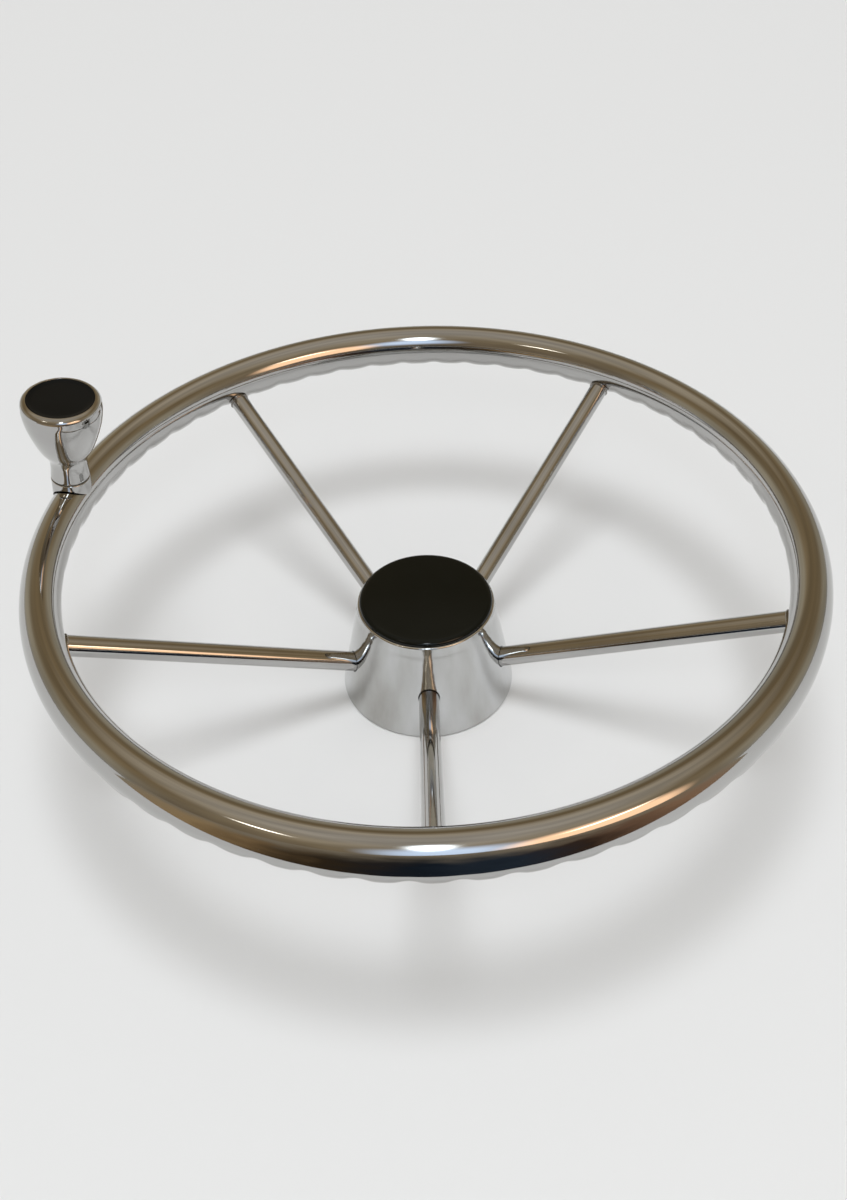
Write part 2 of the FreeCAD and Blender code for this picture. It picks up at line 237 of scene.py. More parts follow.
def make_mould_grain():
    """Moulded plastic: fine pitting, dust in the pits and slight clouding."""
    group, given, out = new_group(
        "mould_grain",
        [("Vector", "NodeSocketVector", None), ("Scale", "NodeSocketFloat", 2500.0),
         ("Dust", "NodeSocketFloat", 0.3)],
        [("Height", "NodeSocketFloat"), ("Dust", "NodeSocketFloat"), ("Cloud", "NodeSocketFloat")])
    pits = add(group, "ShaderNodeTexNoise",
               [("Vector", given.outputs["Vector"]), ("Scale", given.outputs["Scale"]),
                ("Detail", 3.0), ("Roughness", 0.6)])
    specks = add(group, "ShaderNodeTexVoronoi",
                 [("Vector", given.outputs["Vector"]), ("Scale", 420.0)])
    near = add(group, "ShaderNodeMapRange",
               [("Value", specks.outputs["Distance"]), ("From Min", 0.10), ("From Max", 0.03)])
    cloud = add(group, "ShaderNodeTexNoise",
                [("Vector", given.outputs["Vector"]), ("Scale", 60.0), ("Detail", 4.0)])
    some = add(group, "ShaderNodeMapRange",
               [("Value", cloud.outputs[0]), ("From Min", 0.5), ("From Max", 0.7)])
    dust = maths(group, "MULTIPLY", maths(group, "MULTIPLY", near.outputs[0], some.outputs[0]),
                 given.outputs["Dust"])
    group.links.new(pits.outputs[0], out.inputs["Height"])
    group.links.new(dust, out.inputs["Dust"])
    group.links.new(cloud.outputs[0], out.inputs["Cloud"])
    return group


POLISH_MARKS = make_polish_marks()
MOULD_GRAIN = make_mould_grain()


# Materials


def start_material(name):
    """A material with a Principled shader, and the position on the piece."""
    material = bpy.data.materials.new(name)
    material.use_nodes = True
    tree = material.node_tree
    shader = tree.nodes["Principled BSDF"]
    place = add(tree, "ShaderNodeTexCoord").outputs["Object"]
    return material, tree, shader, place


def two_tones(tree, mask, low, high):
    """A colour that goes from low to high with a mask."""
    mix = add(tree, "ShaderNodeMix", [(0, mask)], data_type="RGBA")
    mix.inputs[6].default_value = (*low, 1)
    mix.inputs[7].default_value = (*high, 1)
    return mix.outputs[2]


def laid_around(tree, place, reach, rise):
    """The position laid out round the shaft axis; a small reach draws marks out along the way
    round, and a small rise draws them out up and down."""
    apart = add(tree, "ShaderNodeSeparateXYZ", [(0, place)])
    flat = add(tree, "ShaderNodeCombineXYZ", [(0, apart.outputs["X"]), (1, apart.outputs["Y"])])
    out = add(tree, "ShaderNodeVectorMath", [(0, flat.outputs[0])], operation="LENGTH").outputs["Value"]
    way = maths(tree, "ARCTAN2", apart.outputs["Y"], apart.outputs["X"])
    laid = add(tree, "ShaderNodeCombineXYZ",
               [(0, out), (1, maths(tree, "MULTIPLY", way, reach)),
                (2, maths(tree, "MULTIPLY", apart.outputs["Z"], rise))])
    return laid.outputs[0]


def polished_steel(name, smooth, rubbed, waviness, depth, low, high, lay=None):
    """Polished stainless steel, its roughness from smooth to rubbed and its tone from low to high;
    depth is how deep the unevenness is, and lay is the reach and rise of marks laid round the axis."""
    material, tree, shader, place = start_material(name)
    if lay:
        place = laid_around(tree, place, *lay)
    marks = add(tree, "ShaderNodeGroup", node_tree=POLISH_MARKS)
    tree.links.new(place, marks.inputs["Vector"])
    marks.inputs["Waviness"].default_value = waviness
    marks.inputs["Smooth"].default_value = smooth
    marks.inputs["Rubbed"].default_value = rubbed
    bump = add(tree, "ShaderNodeBump", [("Height", marks.outputs["Height"]), ("Strength", 1.0),
                                        ("Distance", depth)])
    shader.inputs["Metallic"].default_value = 1.0
    tree.links.new(two_tones(tree, marks.outputs["Tone"], low, high), shader.inputs["Base Color"])
    tree.links.new(marks.outputs["Roughness"], shader.inputs["Roughness"])
    tree.links.new(bump.outputs[0], shader.inputs["Normal"])
    return material


def turned_steel(name, closeness):
    """Lathe-turned stainless steel with fine rings, finer with a higher closeness."""
    material, tree, shader, place = start_material(name)
    marks = add(tree, "ShaderNodeGroup", node_tree=POLISH_MARKS)
    tree.links.new(place, marks.inputs["Vector"])
    marks.inputs["Smooth"].default_value = 0.24
    marks.inputs["Rubbed"].default_value = 0.42
    rings = add(tree, "ShaderNodeTexWave", [("Vector", place), ("Scale", closeness), ("Distortion", 0.3),
                                            ("Detail", 2.0)],
                wave_type="RINGS", rings_direction="Z")
    height = maths(tree, "ADD", maths(tree, "MULTIPLY", rings.outputs["Fac"], 0.6),
                   marks.outputs["Height"])
    bump = add(tree, "ShaderNodeBump", [("Height", height), ("Strength", 0.6), ("Distance", 0.00004)])
    shader.inputs["Metallic"].default_value = 1.0
    tree.links.new(two_tones(tree, rings.outputs["Fac"], (0.42, 0.415, 0.40), (0.54, 0.53, 0.515)),
                   shader.inputs["Base Color"])
    tree.links.new(marks.outputs["Roughness"], shader.inputs["Roughness"])
    tree.links.new(bump.outputs[0], shader.inputs["Normal"])
    return material


def moulded(name, low, high, roughness, grain, depth, dust, dust_tone, shine=0.5):
    """Moulded plastic with fine pitting and a little dust; a higher grain makes finer pits."""
    material, tree, shader, place = start_material(name)
    shader.inputs["Specular IOR Level"].default_value = shine
    texture = add(tree, "ShaderNodeGroup", node_tree=MOULD_GRAIN)
    tree.links.new(place, texture.inputs["Vector"])
    texture.inputs["Scale"].default_value = grain
    texture.inputs["Dust"].default_value = dust
    clouded = two_tones(tree, texture.outputs["Cloud"], low, high)
    dusty = add(tree, "ShaderNodeMix", [(0, texture.outputs["Dust"])], data_type="RGBA")
    tree.links.new(clouded, dusty.inputs[6])
    dusty.inputs[7].default_value = (*dust_tone, 1)
    rough = add(tree, "ShaderNodeMapRange",
                [("Value", texture.outputs["Cloud"]), ("From Min", 0.2), ("From Max", 0.8),
                 ("To Min", roughness * 0.8), ("To Max", roughness * 1.25)])
    bump = add(tree, "ShaderNodeBump", [("Height", texture.outputs["Height"]), ("Strength", 0.5),
                                        ("Distance", depth)])
    tree.links.new(dusty.outputs[2], shader.inputs["Base Color"])
    tree.links.new(rough.outputs[0], shader.inputs["Roughness"])
    tree.links.new(bump.outputs[0], shader.inputs["Normal"])
    return material


STEEL_LOW, STEEL_HIGH = (0.44, 0.435, 0.425), (0.53, 0.525, 0.515)
RIM_STEEL = polished_steel("polished_rim_steel", smooth=0.06, rubbed=0.13, waviness=90.0, depth=0.00003,
                           low=STEEL_LOW, high=STEEL_HIGH, lay=(0.03, 1.0))
ROD_STEEL = polished_steel("polished_rod_steel", smooth=0.06, rubbed=0.13, waviness=120.0, depth=0.00002,
                           low=STEEL_LOW, high=STEEL_HIGH)
SHEET_STEEL = polished_steel("spun_sheet_steel", smooth=0.08, rubbed=0.20, waviness=110.0, depth=0.00012,
                             low=(0.40, 0.39, 0.365), high=(0.66, 0.67, 0.675), lay=(0.06, 0.5))
KNOB_STEEL = polished_steel("polished_knob_steel", smooth=0.03, rubbed=0.07, waviness=80.0,
                            depth=0.00003, low=STEEL_LOW, high=STEEL_HIGH)
WELD_STEEL = polished_steel("weld_steel", smooth=0.22, rubbed=0.40, waviness=700.0, depth=0.00025,
                            low=(0.22, 0.20, 0.18), high=(0.42, 0.40, 0.37))
# Painted shade: a dark steel for the heel's downward faces, standing in for the shade in the gap under the
# knob's collar
PAINTED_SHADE_HEEL_STEEL = polished_steel("painted_shade_foot_steel", smooth=0.40, rubbed=0.60, waviness=300.0,
                            depth=0.00005, low=(0.05, 0.045, 0.04), high=(0.09, 0.085, 0.08))
BOSS_STEEL = turned_steel("turned_boss_steel", closeness=700.0)
FITTING_STEEL = turned_steel("turned_fitting_steel", closeness=1200.0)
CAP_BLACK = moulded("gloss_black_cap", low=(0.002, 0.003, 0.0022), high=(0.004, 0.005, 0.004),
                    roughness=0.08, grain=900.0, depth=0.00001, dust=0.25, dust_tone=(0.06, 0.06, 0.055),
                    shine=0.25)
INSERT_BLACK = moulded("satin_black_insert", low=(0.003, 0.0035, 0.0036), high=(0.006, 0.0065, 0.0066),
                       roughness=0.42, grain=3200.0, depth=0.00005, dust=0.4, dust_tone=(0.06, 0.06, 0.06),
                       shine=0.12)
BUSH_WHITE = moulded("bush_acetal", low=(0.70, 0.68, 0.62), high=(0.80, 0.78, 0.72), roughness=0.35,
                     grain=2600.0, depth=0.00002, dust=0.2, dust_tone=(0.40, 0.38, 0.33))
NYLON = moulded("lock_ring_nylon", low=(0.50, 0.55, 0.62), high=(0.62, 0.66, 0.72), roughness=0.45,
                grain=2200.0, depth=0.00002, dust=0.2, dust_tone=(0.35, 0.36, 0.38))


# Mesh building


def closed_mesh(name, verts, faces):
    """A mesh with its doubled points merged and its faces turned outwards."""
    mesh = bpy.data.meshes.new(name)
    mesh.from_pydata([tuple(v) for v in verts], [], faces)
    mesh.validate()
    work = bmesh.new()
    work.from_mesh(mesh)
    bmesh.ops.remove_doubles(work, verts=work.verts, dist=MERGE_DISTANCE)
    bmesh.ops.recalc_face_normals(work, faces=work.faces)
    work.to_mesh(mesh)
    work.free()
    return mesh


def shade(mesh, crease):
    """Smooth shading, with an edge wherever the surface turns by more than the crease, in degrees."""
    mesh.shade_smooth()
    mesh.set_sharp_from_angle(angle=math.radians(crease))


def make_piece(name, verts, faces, material, body, replaced=(), crease=35):
    """A smooth-shaded piece that rides on a body and stands for the nodes it replaces."""
    mesh = closed_mesh(name, verts, faces)
    shade(mesh, crease)
    mesh.materials.append(material)
    piece = bpy.data.objects.new(name, mesh)
    bpy.context.scene.collection.objects.link(piece)
    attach(piece, body)
    if replaced:
        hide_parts(*replaced)
    return piece


def turns(count):
    """The angles that part a full turn into equal steps."""
    return [2 * math.pi * k / count for k in range(count)]


def arc(centre, radius, start, end, steps):
    """Points of an arc about a (radius, height) centre, angles in degrees."""
    angles = [math.radians(start + (end - start) * k / steps) for k in range(steps + 1)]
    return [(centre[0] + radius * math.cos(t), centre[1] + radius * math.sin(t)) for t in angles]


def flowing(points, steps):
    """A smooth line through (radius, height) points, in so many steps from one to the next."""
    ends = [points[0]] + points + [points[-1]]
    line = []
    for a, b, c, d in zip(ends, ends[1:], ends[2:], ends[3:]):
        for k in range(steps):
            t = k / steps
            line.append(tuple(0.5 * (2 * q + (r - p) * t + (2 * p - 5 * q + 4 * r - s) * t * t
                                     + (3 * q - p - 3 * r + s) * t ** 3)
                              for p, q, r, s in zip(a, b, c, d)))
    return line + [points[-1]]


def turned(profile, steps, start=0.0, sweep=2 * math.pi):
    """Vertices and faces of a closed (radius, height) outline turned about Z."""
    full = sweep == 2 * math.pi
    stations = steps if full else steps + 1
    count = len(profile)
    verts = [Vector((r * math.cos(start + sweep * k / steps), r * math.sin(start + sweep * k / steps), z))
             for k in range(stations) for r, z in profile]
    faces = []
    for k in range(steps):
        here, there = k * count, ((k + 1) % stations) * count
        for i in range(count):
            j = (i + 1) % count
            if profile[i][0] < ON_AXIS and profile[j][0] < ON_AXIS:
                continue
            faces.append((here + i, there + i, there + j, here + j))
    if not full:
        faces.append(tuple(range(count)))
        faces.append(tuple(reversed(range(steps * count, (steps + 1) * count))))
    return verts, faces


def ring_about(middle, side, over, radius, count):
    """A ring of points round a middle, in the plane of two directions."""
    return [middle + (side * math.cos(t) + over * math.sin(t)) * radius for t in turns(count)]


def swept(rings, endless=True):
    """Vertices and faces of a tube through equal rings of points, endless or with flat ends."""
    size = len(rings[0])
    verts = [point for ring in rings for point in ring]
    firsts = [k * size for k in range(len(rings))]
    nexts = firsts[1:] + firsts[:1] if endless else firsts[1:]
    faces = []
    for here, there in zip(firsts, nexts):
        for i in range(size):
            j = (i + 1) % size
            faces.append((here + i, there + i, there + j, here + j))
    if not endless:
        faces.append(tuple(range(size)))
        faces.append(tuple(range(firsts[-1], firsts[-1] + size)))
    return verts, faces


# Rim


def grip_share(turn):
    """Share of the grip depth at an angle round the tube: none on top, and most just past the
    bottom, towards the outside."""
    below = turn % (2 * math.pi) - math.pi
    if below <= 0 or below >= GRIP_END:
        return 0.0
    fade = min(1.0, (GRIP_END - below) / GRIP_FADE)
    return math.sqrt(min(1.0, below / GRIP_DEEPEST)) * fade * fade * (3 - 2 * fade)


def grip_hollow(azimuth):
    """How far down into a grip an azimuth is, 1 on its floor; ridges are wide, floors narrow."""
    pitch = 2 * math.pi / GRIP_COUNT
    away = abs(((azimuth - FIRST_AZIMUTH) / pitch) % 1.0 - 0.5) * 4
    if away >= 2:
        return 0.0
    if away >= 1:
        return (2 - away) ** 3 / 4
    return (4 - 6 * away ** 2 + 3 * away ** 3) / 4


def rim_point(azimuth, turn):
    """A point of the gripped rim's surface, at an azimuth and an angle round the tube, which
    starts at its outer side and goes over its top."""
    normal = Vector((TUBE_HALF_HEIGHT * math.cos(turn), TUBE_HALF_WIDTH * math.sin(turn))).normalized()
    depth = GRIP_DEPTH * grip_share(turn) * grip_hollow(azimuth)
    x = TUBE_HALF_WIDTH * math.cos(turn) - normal.x * depth
    z = TUBE_HALF_HEIGHT * math.sin(turn) - normal.y * depth
    radius = RIM_RADIUS + x * math.cos(TUBE_LEAN) - z * math.sin(TUBE_LEAN)
    height = RIM_HEIGHT + x * math.sin(TUBE_LEAN) + z * math.cos(TUBE_LEAN)
    return Vector((radius * math.cos(azimuth), radius * math.sin(azimuth), height))


def tube_depth(point, lift):
    """Below 1 inside the rim's plain tube with its skin lifted, above 1 outside."""
    x, z = math.hypot(point.x, point.y) - RIM_RADIUS, point.z - RIM_HEIGHT
    across = x * math.cos(TUBE_LEAN) + z * math.sin(TUBE_LEAN)
    along = -x * math.sin(TUBE_LEAN) + z * math.cos(TUBE_LEAN)
    return math.hypot(across / (TUBE_HALF_WIDTH + lift), along / (TUBE_HALF_HEIGHT + lift))


def reach_tube(start, end, lift=0.0):
    """The point between start, outside the tube, and end, inside it, that lies on its lifted skin."""
    near, far = 0.0, 1.0
    for _ in range(SEARCH_HALVINGS):
        middle = (near + far) / 2
        if tube_depth(start.lerp(end, middle), lift) > 1:
            near = middle
        else:
            far = middle
    return start.lerp(end, near)


def make_rim():
    """The ring of oval tube with its pressed grips."""
    rings = [[rim_point(FIRST_AZIMUTH + azimuth, turn) for turn in turns(TUBE_AROUND)]
             for azimuth in turns(GRIP_COUNT * STATIONS_PER_GRIP)]
    verts, faces = swept(rings)
    make_piece("gripped_rim", verts, faces, RIM_STEEL, "wheel", ["rim"], crease=60)


# Spokes


def spoke_frame(number):
    """Root point on the wheel axis, direction, and two directions across a spoke."""
    azimuth = FIRST_AZIMUTH + 2 * math.pi * number / SPOKE_COUNT
    outward = Vector((math.cos(azimuth), math.sin(azimuth), 0))
    root = UP * SPOKE_ROOT_HEIGHT
    along = (outward * RIM_RADIUS + UP * (RIM_HEIGHT - SPOKE_RIM_DROP) - root).normalized()
    side = along.cross(UP).normalized()
    return root, along, side, side.cross(along)


def leave_boss(point, along):
    """Where a line through a point in the boss comes out of its round side."""
    flat, off_axis = Vector((along.x, along.y)), Vector((point.x, point.y))
    a = flat.length_squared
    b = off_axis.dot(flat)
    c = off_axis.length_squared - BOSS_RADIUS ** 2
    return point + along * ((-b + math.sqrt(b * b - a * c)) / a)


def make_spoke(number):
    """A round rod from the boss into the rim, and the weld bead where it meets the rim."""
    name = "spoke_%d" % (number + 1)
    root, along, side, over = spoke_frame(number)
    ring = ring_about(root, side, over, SPOKE_RADIUS, SPOKE_AROUND)
    start = [leave_boss(point, along) for point in ring]
    before_rim = [point + along * SPOKE_SEARCH_START for point in ring]
    end = [reach_tube(point, point + along * SPOKE_SEARCH_LENGTH) for point in before_rim]
    rings = [[p.lerp(q, k / SPOKE_BANDS) for p, q in zip(start, end)] for k in range(SPOKE_BANDS)]
    rings += [end, [point + along * SPOKE_SINK for point in end]]
    verts, faces = swept(rings, endless=False)
    make_piece("%s_rod" % name, verts, faces, ROD_STEEL, "wheel", [name], crease=50)
    make_bead("%s_weld" % name, end, -along, SPOKE_WELD)


def make_bead(name, line, lift, radius):
    """A rippled weld bead along a closed line of points; lift is a direction across the line."""
    rings = []
    for k, point in enumerate(line):
        ahead = (line[(k + 1) % len(line)] - line[k - 1]).normalized()
        out = lift.cross(ahead).normalized()
        ripple = 1 + BEAD_RIPPLE * math.sin(k * BEAD_RIPPLE_STEP)
        rings.append(ring_about(point, lift, out, radius * ripple, BEAD_AROUND))
    verts, faces = swept(rings)
    make_piece(name, verts, faces, WELD_STEEL, "wheel")


# Hub


def make_drill(number):
    """A closed rod along a spoke, a little thicker than it, that cuts its hole in the shell."""
    root, along, side, over = spoke_frame(number)
    rings = [ring_about(root + along * reach, side, over, SPOKE_RADIUS + SPOKE_HOLE_GAP, SPOKE_AROUND)
             for reach in DRILL_REACH]
    verts, faces = swept(rings, endless=False)
    return bpy.data.objects.new("drill", closed_mesh("drill", verts, faces))


def cut_holes(piece, drills):
    """Cuts closed meshes out of a piece for good."""
    for drill in drills:
        bpy.context.scene.collection.objects.link(drill)
        cut = piece.modifiers.new("spoke_hole", "BOOLEAN")
        cut.operation = "DIFFERENCE"
        cut.solver = "EXACT"
        cut.object = drill
    bpy.context.view_layer.update()
    cut_mesh = bpy.data.meshes.new_from_object(piece.evaluated_get(bpy.context.evaluated_depsgraph_get()))
    piece.modifiers.clear()
    piece.data = cut_mesh
    for drill in drills:
        bpy.data.objects.remove(drill)


def make_hub_shell():
    """Spun cone with a rolled lip and the holes that the spokes pass through."""
    levels = [HUB_FOOT_EDGE] + [HUB_BAND * (k + 0.5) for k in range(HUB_BAND_COUNT)]
    profile = [(HUB_BASE_RADIUS - HUB_FOOT_EDGE, 0.0)]
    profile += [(HUB_BASE_RADIUS - HUB_SLOPE * z, z) for z in levels]
    profile += [(HUB_TOP_RADIUS + HUB_SLOPE * LIP_NECK_DROP, LIP_BASE - LIP_NECK_DROP)]
    profile += [(HUB_TOP_RADIUS - LIP_CREASE_DEPTH, LIP_BASE - LIP_CREASE_DROP)]
    profile += arc((HUB_TOP_RADIUS - LIP_RADIUS, LIP_BASE), LIP_RADIUS, start=-10, end=190, steps=16)
    profile += [(LIP_INNER_RADIUS, LIP_BASE - LIP_LAND)]
    profile += [(HUB_BASE_RADIUS - HUB_SLOPE * z - HUB_WALL, z) for z in reversed(levels)]
    profile += [(HUB_BASE_RADIUS - HUB_WALL, 0.0)]
    verts, faces = turned(profile, HUB_AROUND)
    crease = 40
    shell = make_piece("hub_cone", verts, faces, SHEET_STEEL, "wheel",
                       ["hub_shell"], crease)
    cut_holes(shell, [make_drill(number) for number in range(SPOKE_COUNT)])
    shade(shell.data, crease)


def make_cap_crown():
    """Gloss cap: crowned top, rounded edge and the ceiling under it."""
    edge_top = HUB_HEIGHT + CAP_EDGE_HEIGHT
    low = edge_top + CAP_EDGE_ROUND
    ceiling = low - CAP_WALL
    reach = CAP_RADIUS - CAP_EDGE_DEPTH
    skirt = LIP_INNER_RADIUS - CAP_SKIRT_GAP
    shares = [k / CAP_CROWN_BANDS for k in range(CAP_CROWN_BANDS)]
    profile = [(reach * share, low + CAP_RISE * (1 - share ** 2)) for share in shares]
    profile += [(reach + CAP_EDGE_DEPTH * x, edge_top + CAP_EDGE_ROUND * z)
                for x, z in arc((0.0, 0.0), 1.0, start=87, end=0, steps=CAP_EDGE_BANDS)]
    profile += [(CAP_RADIUS, HUB_HEIGHT + CAP_UNDER_EDGE), (CAP_RADIUS - CAP_UNDER_EDGE, HUB_HEIGHT),
                (skirt, HUB_HEIGHT), (skirt - CAP_FINGER_WALL, HUB_HEIGHT),
                (skirt - CAP_FINGER_WALL - CAP_CEILING_EDGE, ceiling), (0.0, ceiling)]
    verts, faces = turned(profile, CAP_AROUND)
    make_piece("cap_crown", verts, faces, CAP_BLACK, "wheel", ["center_cap"], crease=40)


def make_cap_fingers():
    """Six snap fingers in a ring, each with a hook that catches under the hub's lip."""
    outer = LIP_INNER_RADIUS - CAP_SKIRT_GAP
    inner = outer - CAP_FINGER_WALL
    hook = HUB_HEIGHT - CAP_HOOK_DROP
    foot = HUB_HEIGHT - CAP_FINGER_LENGTH
    profile = [(outer, HUB_HEIGHT), (outer, hook), (outer + CAP_HOOK, hook - CAP_HOOK_SLOPE), (outer, foot),
               (inner, foot), (inner, HUB_HEIGHT)]
    slot = CAP_SLOT_WIDTH / outer
    for number, azimuth in enumerate(turns(CAP_FINGER_COUNT)):
        verts, faces = turned(profile, FINGER_STEPS, start=azimuth + slot / 2,
                              sweep=2 * math.pi / CAP_FINGER_COUNT - slot)
        make_piece("cap_finger_%d" % (number + 1), verts, faces, CAP_BLACK, "wheel")


def make_hub_welds():
    """Beads that join the back plate to the boss and to the shell, seen from behind."""
    shell_radius = HUB_BASE_RADIUS - HUB_WALL - HUB_SLOPE * PLATE_RECESS
    for name, radius in (("back_plate_outer_weld", shell_radius - PLATE_OUTER_WELD_INSET),
                         ("back_plate_inner_weld", PLATE_INNER_WELD_RADIUS)):
        line = [Vector((radius * math.cos(t), radius * math.sin(t), PLATE_RECESS))
                for t in turns(PLATE_WELD_AROUND)]
        make_bead(name, line, -UP, PLATE_WELD)


# Knob


def knob_place():
    """Takes a piece turned about Z, with the tube's centre at zero height, to its place."""
    return (Matrix.Rotation(KNOB_AZIMUTH, 4, "Z")
            @ Matrix.Translation((RIM_RADIUS + KNOB_OFFSET, 0, RIM_HEIGHT))
            @ Matrix.Rotation(-KNOB_TILT, 4, "Y"))


def make_knob_body():
    """Polished cup: rounded foot, narrow neck, flowing side and a rolled mouth."""
    place = knob_place()
    lip_round = CUP_LIP_RADIUS - MOUTH_RADIUS
    lip_base = CUP_TOP - lip_round
    side = flowing([(NECK_FOOT_RADIUS, 0.0006), (0.0093, 0.0070), (0.0100, 0.0123), (0.0137, 0.0189),
                    (0.0166, 0.0263), (0.0188, 0.0338), (0.0198, 0.0404), (CUP_LIP_RADIUS, lip_base)],
                   CUP_SIDE_BANDS)
    profile = arc((NECK_FOOT_RADIUS - NECK_FOOT_ROUND, NECK_FOOT_ROUND), NECK_FOOT_ROUND,
                  start=-90, end=0, steps=4)
    profile += side[1:-1]
    profile += arc((MOUTH_RADIUS, lip_base), lip_round, start=0, end=88, steps=16)
    profile += arc((MOUTH_RADIUS + MOUTH_ROUND, CUP_TOP - MOUTH_ROUND), MOUTH_ROUND,
                   start=90, end=180, steps=4)
    profile += [(MOUTH_RADIUS, CUP_LEDGE_HEIGHT), (CAVITY_RADIUS, CUP_LEDGE_HEIGHT),
                (CAVITY_RADIUS, SEAT_HEIGHT), (BUSH_OUTER, SEAT_HEIGHT), (BUSH_OUTER, 0.0)]
    verts, faces = turned([(r, z + BODY_BASE) for r, z in profile], CUP_AROUND)
    make_piece("knob_cup", [place @ v for v in verts], faces, KNOB_STEEL, "knob",
               ["knob_body"], crease=40)


def make_knob_insert():
    """Satin disc let into the cup, its face a little lower than its bevelled rim."""
    place = knob_place()
    base, top = BODY_BASE + CUP_LEDGE_HEIGHT, BODY_BASE + CUP_TOP - INSERT_SINK
    profile = [(INSERT_RADIUS * k / INSERT_BANDS, top - INSERT_DISH) for k in range(INSERT_BANDS - 1)]
    profile += [(INSERT_RADIUS - width, top - depth)
                for width, depth in zip(INSERT_BEVEL_WIDTHS, INSERT_BEVEL_DEPTHS)]
    profile += arc((INSERT_RADIUS - INSERT_EDGE_ROUND, top - INSERT_EDGE_ROUND), INSERT_EDGE_ROUND,
                   start=90, end=0, steps=6)
    profile += [(INSERT_RADIUS, base), (0.0, base)]
    verts, faces = turned(profile, INSERT_AROUND)
    make_piece("knob_disc", [place @ v for v in verts], faces, INSERT_BLACK, "knob",
               ["knob_insert"], crease=40)


def make_knob_saddle():
    """Collar whose foot follows the tube, a hairline off it, with an inset heel whose downward faces get a
    dark steel as painted shade in the gap under the collar.
    """
    place = knob_place()
    edge = arc((SADDLE_RADIUS - SADDLE_EDGE, SADDLE_TOP - SADDLE_EDGE), SADDLE_EDGE,
               start=0, end=90, steps=6)
    from_above = UP * (SADDLE_TOP - SADDLE_EDGE)
    rings = []
    for turn in turns(SADDLE_AROUND):
        out = Vector((math.cos(turn), math.sin(turn), 0))
        bore, heel, skin = out * SADDLE_BORE, out * (SADDLE_RADIUS - HEEL_INSET), out * SADDLE_RADIUS
        ring = [reach_tube(place @ (bore + from_above), place @ bore, SADDLE_GAP),
                reach_tube(place @ (heel + from_above), place @ (heel + UP * SADDLE_SEARCH_END),
                           SADDLE_GAP),
                reach_tube(place @ (skin + from_above), place @ (skin + UP * SADDLE_SEARCH_END),
                           SADDLE_GAP + HEEL_HEIGHT)]
        ring += [place @ (out * r + UP * z) for r, z in edge]
        ring += [place @ (bore + UP * SADDLE_TOP)]
        rings.append(ring)
    verts, faces = swept(rings)
    collar = make_piece("knob_collar", verts, faces, KNOB_STEEL, "wheel",
                        ["knob_saddle"], crease=40)
    # The heel's downward faces get the dark steel, as painted shade for the gap under the collar
    collar.data.materials.append(PAINTED_SHADE_HEEL_STEEL)
    upright = place.inverted().to_3x3()
    for face in collar.data.polygons:
        if (upright @ face.normal).z < HEEL_FACING:
            face.material_index = 1


# Plain solids that keep their shape and get a finish

FINISHES = {
    "hub_boss": BOSS_STEEL,
    "hub_back_plate": BOSS_STEEL,
    "knob_spindle": FITTING_STEEL,
    "knob_washer": FITTING_STEEL,
    "knob_nut": FITTING_STEEL,
    "knob_nut_ring": NYLON,
    "knob_lower_bush": BUSH_WHITE,
    "knob_upper_bush": BUSH_WHITE,
}


def finish_solids():
    """Gives each kept solid its material."""
    for name, material in FINISHES.items():
        solid = nodes[name]
        solid.data.materials.clear()
        solid.data.materials.append(material)


# Studio

WHEEL_MIDDLE = Vector((0, 0, 0.09))
FLOOR_HALF_WIDTH = 6.0
FLOOR_LEVEL = -0.0003
FLOOR_GLOW = 0.06
CARD_HALF_WIDTH = 0.70
CARD_FOOT = -0.262
CARD_HEAD = -0.345
CARD_TOP = 0.18


def stage_piece(name, verts, faces, material, seen_by):
    """A piece of the studio, seen only by the named kinds of ray."""
    mesh = bpy.data.meshes.new(name)
    mesh.from_pydata(verts, [], faces)
    mesh.materials.append(material)
    piece = bpy.data.objects.new(name, mesh)
    bpy.context.scene.collection.objects.link(piece)
    for kind in ("camera", "diffuse", "glossy", "transmission", "shadow", "volume_scatter"):
        setattr(piece, "visible_%s" % kind, kind in seen_by)


def bare_ray_mask(tree):
    """1 for camera, glossy and transmission rays."""
    path = add(tree, "ShaderNodeLightPath")
    both = maths(tree, "MAXIMUM", path.outputs["Is Camera Ray"], path.outputs["Is Glossy Ray"])
    return maths(tree, "MAXIMUM", both, path.outputs["Is Transmission Ray"])


def colour_steps(tree, factor, stops):
    """A colour that runs through stops of (place from 0 to 1, colour)."""
    ramp = add(tree, "ShaderNodeValToRGB", [(0, factor)])
    while len(ramp.color_ramp.elements) < len(stops):
        ramp.color_ramp.elements.new(0.5)
    for element, (where, tone) in zip(ramp.color_ramp.elements, stops):
        element.position = where
        element.color = (*tone, 1)
    return ramp.outputs[0]


def make_floor():
    """Pale floor with the wheel's soft shadow, the same to the camera and to the steel, and clear
    from below so that the back of the wheel can be seen."""
    material = bpy.data.materials.new("pale_floor")
    material.use_nodes = True
    tree = material.node_tree
    shader = tree.nodes["Principled BSDF"]
    shader.inputs["Base Color"].default_value = (0.68, 0.68, 0.68, 1)
    shader.inputs["Roughness"].default_value = 0.9
    shader.inputs["Specular IOR Level"].default_value = 0.1
    shader.inputs["Emission Color"].default_value = (1, 1, 1, 1)
    glow = maths(tree, "MULTIPLY", bare_ray_mask(tree), FLOOR_GLOW)
    tree.links.new(glow, shader.inputs["Emission Strength"])
    below = add(tree, "ShaderNodeNewGeometry").outputs["Backfacing"]
    tree.links.new(maths(tree, "SUBTRACT", 1.0, below), shader.inputs["Alpha"])
    wide = FLOOR_HALF_WIDTH
    corners = [(x, y, FLOOR_LEVEL) for x, y in ((-wide, -wide), (wide, -wide), (wide, wide), (-wide, wide))]
    stage_piece("floor", corners, [(0, 1, 2, 3)], material,
                {"camera", "diffuse", "glossy", "transmission", "shadow"})


